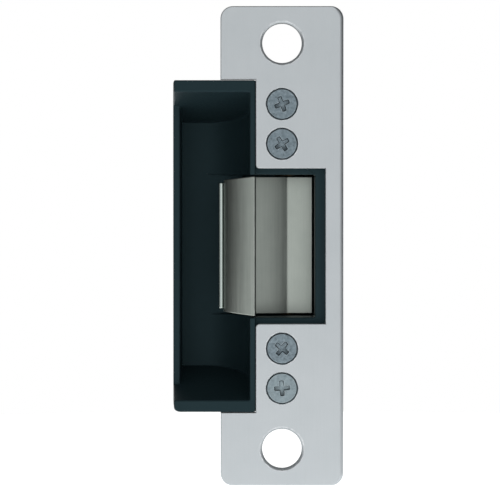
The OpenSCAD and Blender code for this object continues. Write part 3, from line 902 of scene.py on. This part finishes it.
def pierced_plate(
    name: str, outline: np.ndarray, face: float, back: float, front_edge: np.ndarray, holes: list
) -> bpy.types.Object:
    """Builds a flat plate with rounded edges and round holes.

    The outline is carried down a quarter circle of the edge's own radius d:
    inset d (1 - cos t) at depth d (1 - sin t), then down the side to a smaller
    quarter circle at the back. Each hole carries a circle along its profile.

    Args:
        name: the piece's name.
        outline: (n, 2) anticlockwise points in X and Z, mm.
        face: y of the front, mm.
        back: y of the back, mm.
        front_edge: radius of the front edge at each point of the outline, mm.
        holes: (x, z, profile) with (y, radius) pairs from front to back, mm.

    Returns:
        The object.
    """
    turn = np.radians(np.linspace(90, 0, 7))
    back_edge = np.full(len(outline), 0.15)
    walls = []
    for edge, start, into, angles in ((front_edge, face, 1, turn), (back_edge, back, -1, turn[::-2])):
        for t in angles:
            inset, depth = edge * (1 - math.cos(t)), edge * (1 - math.sin(t))
            walls.append((inset_loop(outline, inset), start + into * depth))
    strips = [np.array([np.stack([ring[:, 0], y, ring[:, 1]], -1) for ring, y in walls])]
    circle = arc((0, 0), 1, 0, 360, 96)[:-1]
    for x, z, profile in holes:
        rings = []
        for y, r in profile:
            rings.append(np.stack([x + r * circle[:, 0], np.full(len(circle), y), z + r * circle[:, 1]], -1))
        strips.append(np.array(rings))
    points, faces, firsts, lasts, base = [], [], [], [], 0
    for strip in strips:
        n, m, _ = strip.shape
        faces += (base + grid_faces(n, m)).tolist()
        points.append(strip.reshape(-1, 3))
        firsts.append(base)
        lasts.append(base + (n - 1) * m)
        base += n * m
    within = 0.98  # a triangle whose middle lies within this share of a hole's radius is left out
    front_holes = [(x, z, profile[0][1] * within) for x, z, profile in holes]
    back_holes = [(x, z, profile[-1][1] * within) for x, z, profile in holes]
    faces += fill([strip[0][:, [0, 2]] for strip in strips], firsts, front_holes)
    faces += fill([strip[-1][:, [0, 2]] for strip in strips], lasts, back_holes)
    piece = make_piece(name, np.vstack(points) * MM, faces)
    even_shading(piece)
    return piece


def rounded_copy(
    node: str,
    name: str,
    radius: float,
    segments: int = 3,
    crease: float = 28.0,
    held: bool = False,
) -> bpy.types.Object:
    """Copies a CAD node's solid, merges it and rounds its edges.

    Args:
        node: the CAD node.
        name: the piece's name.
        radius: of the edge rounding, mm, or 0 to leave the edges and the triangles as they are.
        segments: steps across a rounding.
        crease: edges that turn by more than this get rounded, degrees.
        held: whether the rounding is held back where roundings would meet.

    Returns:
        The object, with a live Bevel modifier where radius isn't 0.
    """
    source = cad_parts[node].data
    points = np.empty(len(source.vertices) * 3, np.float32)
    source.vertices.foreach_get("co", points)
    corners = np.empty(len(source.loops), np.int32)
    source.loops.foreach_get("vertex_index", corners)
    mesh = bpy.data.meshes.new(name)
    mesh.from_pydata(points.reshape(-1, 3).tolist(), [], corners.reshape(-1, 3).tolist())
    shape = bmesh.new()
    shape.from_mesh(mesh)
    bmesh.ops.remove_doubles(shape, verts=shape.verts, dist=2e-6)
    if radius:
        bmesh.ops.dissolve_limit(shape, angle_limit=math.radians(0.6), verts=shape.verts, edges=shape.edges)
    layer = shape.edges.layers.float.new("bevel_weight_edge")
    for edge in shape.edges:
        sharp = len(edge.link_faces) == 2 and edge.calc_face_angle(0) > math.radians(crease)
        edge[layer] = float(sharp)
        edge.smooth = not sharp
    shape.to_mesh(mesh)
    shape.free()
    mesh.polygons.foreach_set("use_smooth", np.ones(len(mesh.polygons), bool))
    piece = bpy.data.objects.new(name, mesh)
    bpy.context.scene.collection.objects.link(piece)
    if radius:
        bevel = piece.modifiers.new("edges", "BEVEL")
        bevel.limit_method = "WEIGHT"
        bevel.width = radius * MM
        bevel.segments = segments
        bevel.use_clamp_overlap = held
        bevel.miter_outer = "MITER_ARC"
    even_shading(piece)
    return piece


def set_up(
    piece: bpy.types.Object, body: Body | None, finish: Finish, nodes: tuple[str, ...] = ()
) -> bpy.types.Object:
    """Dresses a piece and ties it to the frame.

    Args:
        piece: the piece.
        body: the CAD body that it rides on, or None for a piece that is tied to no body.
        finish: its finish.
        nodes: the CAD nodes that it replaces.

    Returns:
        The piece.
    """
    piece.data.materials.clear()
    piece.data.materials.append(finish.material())
    if body is not None:
        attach(piece, body.value)
    if nodes:
        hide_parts(*nodes)
    LOG.info("%s: %s, rides on %s", piece.name, finish.name, body.value if body else "two bodies")
    return piece


def middle(node: str, axis: Axis) -> tuple[float, float]:
    """The middle of a CAD node's box across an axis, in mm."""
    low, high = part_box(node)
    first, second, _ = axis.value
    return tuple((low[k] + high[k]) / 2 / MM for k in (first, second))


def span(node: str, axis: Axis) -> tuple[float, float]:
    """A CAD node's lowest and highest place along an axis, in mm."""
    low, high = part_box(node)
    return low[axis.value[2]] / MM, high[axis.value[2]] / MM


def add_screws(name: str, node: str, screws: list[Screw], first: Finish = BLUE_ZINC) -> None:
    """Builds and dresses a set of screws, the first of which stands for their CAD node.

    Args:
        name: the start of their names.
        node: the CAD node that they replace.
        screws: the screws.
        first: finish of the first one; the rest are blue zinc.
    """
    for i, screw in enumerate(screws):
        finish, nodes = (first, (node,)) if i == 0 else (BLUE_ZINC, ())
        set_up(screw.build(f"{name}_{i + 1}"), Body.ROOT, finish, nodes)


# Sub-assemblies


@dataclass
class Faceplate:
    """The stainless plate and the four screws that hold it to the housing.

    Attributes:
        edge: rounding of the plate's edges, mm.
        far_edge: rounding of its long edge away from the lip, mm.
        far_from: x where that rounding sets in, and over what width, mm.
        corner_r: radius of its four corners, mm.
        notch: x and half height of the notch that the housing fills, mm.
        opening: far x and half height of the latch opening, mm.
        lip_corner_r: radius of the two corners between notch and opening, mm.
        jamb_hole: radius, chamfer and height of the jamb screw holes, mm.
        sink: depth and radius of each step of a countersunk hole, mm.
        sink_hole_r: radius of its hole at the plate's back, mm.
        screw_z: heights of the screws, mm.
        screw_turn: angles of their recesses, degrees.
    """

    edge: float = 0.3
    far_edge: float = 1.1
    far_from: tuple = (12.8, 2.8)
    corner_r: float = 3.2
    notch: tuple = (-6.8, 43.0)
    opening: tuple = (11.2, 20.05)
    lip_corner_r: float = 1.0
    jamb_hole: tuple = (5.1, 0.5, 52.3875)
    sink: tuple = ((0.0, 4.24), (0.06, 4.18), (2.44, 2.1))
    sink_hole_r: float = 2.08
    screw_z: tuple = (-36.7, -26.45, 26.45, 36.7)
    screw_turn: tuple = (4.0, 52.0, 33.0, 21.0)

    def outline(self) -> np.ndarray:
        """The plate's outline in X and Z, anticlockwise from its lower left corner, mm."""
        low, high = (np.array(corner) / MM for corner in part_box("faceplate"))
        r = self.corner_r
        notch_x, notch_z = self.notch
        open_x, open_z = self.opening
        s = self.lip_corner_r
        return np.vstack([
            arc((low[0] + r, low[2] + r), r, 180, 270, 14),
            arc((high[0] - r, low[2] + r), r, 270, 360, 14),
            arc((high[0] - r, high[2] - r), r, 0, 90, 14),
            arc((low[0] + r, high[2] - r), r, 90, 180, 14),
            [(low[0], notch_z), (notch_x, notch_z)],
            arc((notch_x + s, open_z + s), s, 180, 270, 8),
            [(open_x, open_z), (open_x, -open_z)],
            arc((notch_x + s, -open_z - s), s, 90, 180, 8),
            [(notch_x, -notch_z), (low[0], -notch_z)],
        ])

    def build(self) -> None:
        """Builds and dresses the plate and its screws."""
        outline = self.outline()
        from_x, width = self.far_from
        far = ease((outline[:, 0] - from_x) / width)
        edge = self.edge + (self.far_edge - self.edge) * far
        r, chamfer, z = self.jamb_hole
        face, back = span("faceplate", Axis.Y)
        jamb = [
            (face, r + chamfer + 0.12), (face + 0.03, r + chamfer + 0.03), (face + chamfer - 0.08, r + 0.08),
            (face + chamfer, r + 0.01), (face + chamfer + 0.15, r), (back - 0.15, r), (back, r + 0.12),
        ]
        holes = [(0, side * z, jamb) for side in (-1, 1)]
        sink = [(face + depth, radius) for depth, radius in self.sink] + [(back, self.sink_hole_r)]
        holes += [(0, z, sink) for z in self.screw_z]
        plate = pierced_plate("faceplate_sheet", outline, face, back, edge, holes)
        set_up(plate, Body.ROOT, SATIN_STAINLESS, ("faceplate",))
        low, high = span("plate_screws", Axis.Y)
        screws = [
            Screw(
                at=(0, z), face=low, into=1, head_r=4.15, shank_r=2.05, head_h=2.42,
                length=high - low, recess=4.0, depth=1.5, turn=turn,
            )
            for z, turn in zip(self.screw_z, self.screw_turn)
        ]
        # The lowest screw takes the paler copy of the zinc, painted brighter for the brighter light near the
        # bottom.
        add_screws("plate_screw", "plate_screws", screws, PAINTED_PALER_ZINC)


@dataclass
class Housing:
    """The cast housing with its scooped recess.

    Attributes:
        edge: rounding of its edges, mm.
    """

    edge: float = 0.35

    def build(self) -> None:
        """Builds and dresses the housing."""
        casting = rounded_copy("strike_body", "housing_casting", self.edge)
        set_up(casting, Body.ROOT, BLACK_COAT, ("strike_body",))


@dataclass
class Keeper:
    """The jaw, and what it turns on.

    Attributes:
        edge: rounding of the jaw's edges, mm.
        pin_r: radius of the jaw's pin, mm.
        washer: thickness, outer radius and clearance on the pin of its washers, mm.
        coil_r: radius of the spring's coil, mm.
        wire_r: radius of its wire, mm.
        turns: turns of the spring, less the half that joins its legs.
    """

    edge: float = 0.25
    pin_r: float = 2.0
    washer: tuple = (0.35, 3.8, 0.04)
    coil_r: float = 3.1
    wire_r: float = 0.4
    turns: int = 5

    def build(self) -> None:
        """Builds and dresses the jaw, its pin, rings, washers and spring."""
        jaw = rounded_copy("jaw", "jaw_casting", self.edge, crease=18.0)
        set_up(jaw, Body.JAW, LINISHED_CASTING, ("jaw",))
        at = middle("jaw_pin", Axis.Z)
        low, high = span("jaw_pin", Axis.Z)
        pin = turned("jaw_dowel", pin_profile(low, high, self.pin_r, 0.3, 0.15), at, Axis.Z)
        set_up(pin, Body.ROOT, GROUND_STEEL, ("jaw_pin",))
        clips = rounded_copy("jaw_pin_clips", "jaw_dowel_rings", 0.1, 2)
        set_up(clips, Body.ROOT, PHOSPHATE_STEEL, ("jaw_pin_clips",))
        low, high = span("thrust_washers", Axis.Z)
        thick, outer, clearance = self.washer
        inner = self.pin_r + clearance
        for word, base in (("lower", low), ("upper", high - thick)):
            section = [(base, inner), (base, outer), (base + thick, outer), (base + thick, inner)]
            washer = turned(f"jaw_washer_{word}", rounded_loop(section, 0.08), at, Axis.Z, closed=True)
            nodes = ("thrust_washers",) if word == "lower" else ()
            set_up(washer, Body.ROOT, BRONZE, nodes)
        self.build_spring(at)

    def build_spring(self, at: tuple[float, float]) -> None:
        """Builds the torsion spring: a leg under the jaw, the coil, a leg on the housing.

        It is tied to no body and keeps the one shape it is built in.

        Args:
            at: (x, y) of the pin, mm.
        """
        low, high = span("jaw_spring", Axis.Z)
        low, high = low + self.wire_r, high - self.wire_r
        coil = helix(at, self.coil_r, low, high, -(self.turns + 0.5), 270, Axis.Z)
        first = np.array([[-4.4, 15.9, low], [-2, 16.4, low], [0.6, 17.1, low]])
        last = np.array([[0.4, 23.7, high], [-3, 24, high], [-7, 24.6, high]])
        path = smooth_path(np.vstack([first, coil[1:-1:3], last]), 420)
        spring = wire("jaw_torsion_spring", path, self.wire_r, (0, 0, 1), 14)
        set_up(spring, None, DRAWN_WIRE, ("jaw_spring",))
        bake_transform(spring)


@dataclass
class LeverWorks:
    """The locking lever, its cross pin, rings and spring.

    Attributes:
        edge: rounding of the lever's edges, mm.
        pin_r: radius of the cross pin, mm.
        coil_r: radius of the spring's coil, mm.
        wire_r: radius of its wire, mm.
        turns: turns of the spring.
        pressed: share of its length that it keeps when the lever is pushed over; not used.
    """

    edge: float = 0.25
    pin_r: float = 1.5
    coil_r: float = 1.2
    wire_r: float = 0.22
    turns: int = 4
    pressed: float = 0.53

    def build(self) -> None:
        """Builds and dresses the lever and the parts round it."""
        lever = rounded_copy("locking_lever", "lever_stamping", self.edge)
        set_up(lever, Body.LEVER, STAMPED_STEEL, ("locking_lever",))
        at = middle("lever_pin", Axis.X)
        low, high = span("lever_pin", Axis.X)
        pin = turned("lever_cross_pin", pin_profile(low, high, self.pin_r, 0.25, 0.12), at, Axis.X)
        set_up(pin, Body.ROOT, GROUND_STEEL, ("lever_pin",))
        clips = rounded_copy("lever_pin_clips", "lever_pin_rings", 0.08, 2)
        set_up(clips, Body.ROOT, PHOSPHATE_STEEL, ("lever_pin_clips",))
        low, high = span("lever_spring", Axis.Y)
        at = middle("lever_spring", Axis.Y)
        path = helix(at, self.coil_r, low + self.wire_r, high - self.wire_r, self.turns, 0, Axis.Y)
        spring = wire("lever_return_spring", path, self.wire_r, (0, 1, 0), 12)
        set_up(spring, Body.ROOT, DRAWN_WIRE, ("lever_spring",))
        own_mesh(spring)


@dataclass
class Solenoid:
    """The push solenoid: frame, coil, core, plunger, rod and two screws.

    Attributes:
        wire_pitch: spacing of the winding's turns, mm.
        flange: thickness of the bobbin's flanges, mm.
        bore_r: radius of the bobbin's bore, mm.
        tube_r: outer radius of its tube, mm.
        coil_r: outer radius of the winding, mm.
        tape_r: outer radius of the tape round it, mm.
        lip_r: radius of the bobbin's flanges, mm.
        screw_z: heights of the frame's screws, mm.
        at: (x, z) of the coil's axis, mm.
    """

    wire_pitch: float = 0.42
    flange: float = 0.8
    bore_r: float = 3.0
    tube_r: float = 3.6
    coil_r: float = 6.0
    tape_r: float = 6.2
    lip_r: float = 6.4
    screw_z: tuple = (29.0, 34.0)
    at: tuple = (4.95, 31.5)

    def build(self) -> None:
        """Builds and dresses the solenoid."""
        frame_piece = rounded_copy("solenoid_frame", "solenoid_yoke", 0.2, 2, held=True)
        set_up(frame_piece, Body.ROOT, ZINC_SHEET, ("solenoid_frame",))
        low, high = span("solenoid_bobbin", Axis.Y)
        lip = self.lip_r
        section = [
            (low, self.bore_r), (low, lip), (low + self.flange, lip), (low + self.flange, self.tube_r),
            (high - self.flange, self.tube_r), (high - self.flange, lip), (high, lip), (high, self.bore_r),
        ]
        bobbin = turned("coil_bobbin", rounded_loop(section, 0.12), self.at, Axis.Y, closed=True)
        set_up(bobbin, Body.ROOT, GLASS_NYLON, ("solenoid_bobbin",))
        self.build_winding()
        low, high = span("coil_tape", Axis.Y)
        section = [(low, self.coil_r), (low, self.tape_r), (high, self.tape_r), (high, self.coil_r)]
        tape = turned("coil_tape_wrap", rounded_loop(section, 0.06), self.at, Axis.Y, closed=True)
        set_up(tape, Body.ROOT, POLYESTER_TAPE, ("coil_tape",))
        self.build_core()
        low, high = span("solenoid_screws", Axis.Y)
        screws = [
            Screw(
                at=(-4.6, z), face=high, into=-1, head_r=1.45, shank_r=0.95, head_h=1.1,
                length=high - low, recess=1.74, depth=0.55, turn=20, head=Head.PAN, pitch=0.45, detail=96,
            )
            for z in self.screw_z
        ]
        add_screws("yoke_screw", "solenoid_screws", screws)

    def build_winding(self) -> None:
        """Builds the winding: its radius dips between turns as 1 less the root of a cosine."""
        low, high = span("coil_winding", Axis.Y)
        y = np.linspace(low, high, int((high - low) / self.wire_pitch) * 8)
        dip = 0.5 * self.wire_pitch * (1 - np.sqrt(np.abs(np.sin(np.pi * (y - low) / self.wire_pitch))))
        outer = list(zip(y, self.coil_r - 0.01 - dip))
        section = [(low, self.tube_r), *outer, (high, self.tube_r)]
        winding = turned("coil_wire", section, self.at, Axis.Y, 56, closed=True)
        set_up(winding, Body.ROOT, ENAMELLED_COPPER, ("coil_winding",))

    def build_core(self) -> None:
        """Builds the pole core, the plunger and the brass rod."""
        low, high = span("pole_core", Axis.Y)
        face = span("solenoid_bobbin", Axis.Y)[1]
        section = [(low, 1.06), (low, 2.97), (face, 2.97), (face, 2.0), (high, 2.0), (high, 1.06)]
        core = turned("core_pole_piece", rounded_loop(section, 0.12), self.at, Axis.Y, closed=True)
        set_up(core, Body.ROOT, NICKELLED_IRON, ("pole_core",))
        low, high = span("plunger", Axis.Y)
        ends = [
            (low, 1.2), (low, 2.92), (low + 1.4, 2.92), (low + 1.6, 2.8), (low + 1.9, 2.92),
            (high, 2.92), (high, 1.1),
        ]
        plunger = turned("solenoid_plunger", rounded_profile(ends, 0.15), self.at, Axis.Y)
        set_up(plunger, Body.PLUNGER, NICKELLED_IRON, ("plunger",))
        low, high = span("push_rod", Axis.Y)
        ends = [(low, 0.5), (low, 1.0), (high, 1.0), (high, 0.3)]
        rod = turned("plunger_push_rod", rounded_profile(ends, 0.3), self.at, Axis.Y, 40)
        set_up(rod, Body.PLUNGER, DRAWN_BRASS, ("push_rod",))


@dataclass
class RearCap:
    """The cover behind the works and its four screws.

    Attributes:
        screw_at: (x, z) of the screws in the upper half, mm.
    """

    screw_at: tuple = ((-4.3, 20.25), (10.8, 20.25))

    def build(self) -> None:
        """Builds and dresses the cover and its screws."""
        cover = rounded_copy("rear_cover", "rear_cap", 0.0)
        set_up(cover, Body.ROOT, SPARK_MOULDING, ("rear_cover",))
        low, high = span("cover_screws", Axis.Y)
        screws = [
            Screw(
                at=(x, side * z), face=high, into=-1, head_r=2.3, shank_r=1.2, head_h=1.27,
                length=high - low, recess=2.6, depth=0.8, turn=30, pitch=0.5, detail=96,
            )
            for side in (1, -1)
            for x, z in self.screw_at
        ]
        add_screws("cap_screw", "cover_screws", screws)


@dataclass
class SupplyBoard:
    """The supply board, what stands on it and the leads to the coil.

    Attributes:
        screw_at: (x, z) of the board's screws, mm.
        lead_r: radius of a lead, mm.
        lead_x: x of the two leads, mm.
        lead_route: (y, z) of their middle lines, mm.
    """

    screw_at: tuple = ((-4.2, -37.4), (10.2, -25.6))
    lead_r: float = 0.4
    lead_x: tuple = (-1.5, -0.5)
    lead_route: tuple = (
        (26.25, 28), (27.6, 28), (28.4, 27.7), (28.9, 27), (29, 26), (29, 12), (29, 0),
        (29, -12), (29, -24), (28.9, -25), (28.4, -25.7), (27.6, -26), (25.65, -26),
    )

    def build(self) -> None:
        """Builds and dresses the board and its parts."""
        board = rounded_copy("circuit_board", "supply_board", 0.12, 2)
        set_up(board, Body.ROOT, SOLDER_MASK, ("circuit_board",))
        socket = rounded_copy("connector_socket", "supply_socket", 0.18, 2)
        set_up(socket, Body.ROOT, NATURAL_NYLON, ("connector_socket",))
        pins = rounded_copy("connector_pins", "supply_contacts", 0.12, 2)
        set_up(pins, Body.ROOT, PLATED_CONTACT, ("connector_pins",))
        diode = rounded_copy("suppressor_diode", "surge_diode", 0.12, 2, held=True)
        set_up(diode, Body.ROOT, EPOXY, ("suppressor_diode",))
        low, high = span("board_screws", Axis.Y)
        screws = [
            Screw(
                at=at, face=high, into=-1, head_r=1.5, shank_r=0.75, head_h=0.9,
                length=high - low, recess=1.8, depth=0.45, turn=20, head=Head.PAN, pitch=0.4, detail=96,
            )
            for at in self.screw_at
        ]
        add_screws("board_screw", "board_screws", screws)
        for i, x in enumerate(self.lead_x):
            route = np.array([(x, y, z) for y, z in self.lead_route])
            path = smooth_path(route, 160)
            lead = wire(f"coil_lead_{i + 1}", path, self.lead_r, (1, 0, 0), 14)
            nodes = ("coil_leads",) if i == 0 else ()
            set_up(lead, Body.ROOT, PVC_RED, nodes)


@dataclass
class Studio:
    """The camera, the lights and the floor.

    Attributes:
        aim: the point that the camera looks at, m.
        distance: from that point to the camera, m.
        elevation: of the camera, degrees.
        lens: focal length on a 36 mm sensor, mm.
        floor_r: radius of the light table, m.
    """

    aim: tuple = (-0.00826, -0.003, -0.00096)
    distance: float = 0.75
    elevation: float = 1.2
    lens: float = 209.2
    floor_r: float = 0.25

    def build(self) -> None:
        """Sets up the whole studio."""
        self.add_camera()
        self.add_world()
        self.add_floor()
        self.add_light("front_softbox", (0.0, -1.3, 0.25), (0.8, 0.4), 0.5)
        scene = bpy.context.scene
        scene.view_settings.view_transform = "Standard"

    def add_camera(self) -> None:
        """Adds the camera in front of the plate, a little above its middle."""
        lens = bpy.data.cameras.new("camera")
        lens.lens = self.lens
        lens.sensor_width = 36
        lens.clip_start = 0.01
        camera = bpy.data.objects.new("camera", lens)
        rise = math.radians(self.elevation)
        back = np.array([0, -math.cos(rise), math.sin(rise)])
        camera.location = np.array(self.aim) + self.distance * back
        camera.rotation_euler = (math.radians(90) - rise, 0, 0)
        bpy.context.scene.collection.objects.link(camera)
        bpy.context.scene.camera = camera

    def add_light(self, name: str, at: tuple, size: tuple, power: float) -> None:
        """Adds a rectangular softbox that faces the object.

        Args:
            name: the light's name.
            at: its place, m.
            size: its width and height, m.
            power: W.
        """
        lamp = bpy.data.lights.new(name, "AREA")
        lamp.shape = "RECTANGLE"
        lamp.size, lamp.size_y = size
        lamp.energy = power
        light = bpy.data.objects.new(name, lamp)
        light.location = at
        light.rotation_mode = "QUATERNION"
        light.rotation_quaternion = Vector(at).to_track_quat("Z", "Y")
        bpy.context.scene.collection.objects.link(light)

    def add_world(self) -> None:
        """Adds the surround.

        It is white where the camera sees it. Its light fades from a soft front
        to dim sides, then rises again behind.
        """
        world = bpy.data.worlds.new("studio")
        bpy.context.scene.world = world
        world.use_nodes = True
        graph = Graph(world.node_tree)
        way = graph.add("ShaderNodeTexCoord").outputs["Generated"]
        behind = graph.add("ShaderNodeSeparateXYZ", {0: way}).outputs["Y"]
        place = graph.remap(behind, -1.0, 1.0)
        sky = graph.add(
            "ShaderNodeValToRGB",
            {"Fac": place},
            stops=(
                (0.0, grey(1.04)), (0.03, grey(0.93)), (0.13, grey(0.6)), (0.36, grey(0.3)),
                (0.46, grey(0.13)), (0.55, grey(0.05)), (0.72, grey(0.1)), (0.86, grey(0.6)),
            ),
        )
        dim = graph.add("ShaderNodeBackground", {"Color": sky.outputs[0], "Strength": 1.0})
        white = graph.add("ShaderNodeBackground", {"Color": grey(1.0), "Strength": 1.0})
        seen = graph.add("ShaderNodeLightPath").outputs["Is Camera Ray"]
        both = graph.add("ShaderNodeMixShader", {0: seen, 1: dim.outputs[0], 2: white.outputs[0]})
        graph.add("ShaderNodeOutputWorld", {"Surface": both.outputs[0]})

    def add_floor(self) -> None:
        """Adds a pale floor under the object, lit from below like a light table."""
        level = CAD_BOX[0][2] - 0.0002
        mesh = bpy.data.meshes.new("floor")
        ring = arc((0, 0), self.floor_r, 0, 360, 128)[:-1]
        mesh.from_pydata([(x, y, level) for x, y in ring], [], [list(range(len(ring)))])
        floor = bpy.data.objects.new("floor", mesh)
        bpy.context.scene.collection.objects.link(floor)
        made = bpy.data.materials.new("acrylic_opal_light_table")
        made.use_nodes = True
        graph = Graph(made.node_tree)
        shader = graph.add(
            "ShaderNodeBsdfPrincipled",
            {
                "Base Color": linear("#f4f4f4"), "Roughness": 0.6, "Specular IOR Level": 0.2,
                "Emission Color": grey(1.0), "Emission Strength": 1.1,
            },
        )
        graph.add("ShaderNodeOutputMaterial", {"Surface": shader.outputs[0]})
        mesh.materials.append(made)


def main() -> None:
    """Builds every sub-assembly in order, then the studio."""
    logging.basicConfig(level=logging.INFO, format="%(name)s %(message)s")
    Studio().build()
    for part in (Faceplate(), Housing(), Keeper(), LeverWorks(), Solenoid(), RearCap(), SupplyBoard()):
        LOG.info("building %s", type(part).__name__)
        part.build()


if __name__ == "__main__":
    main()
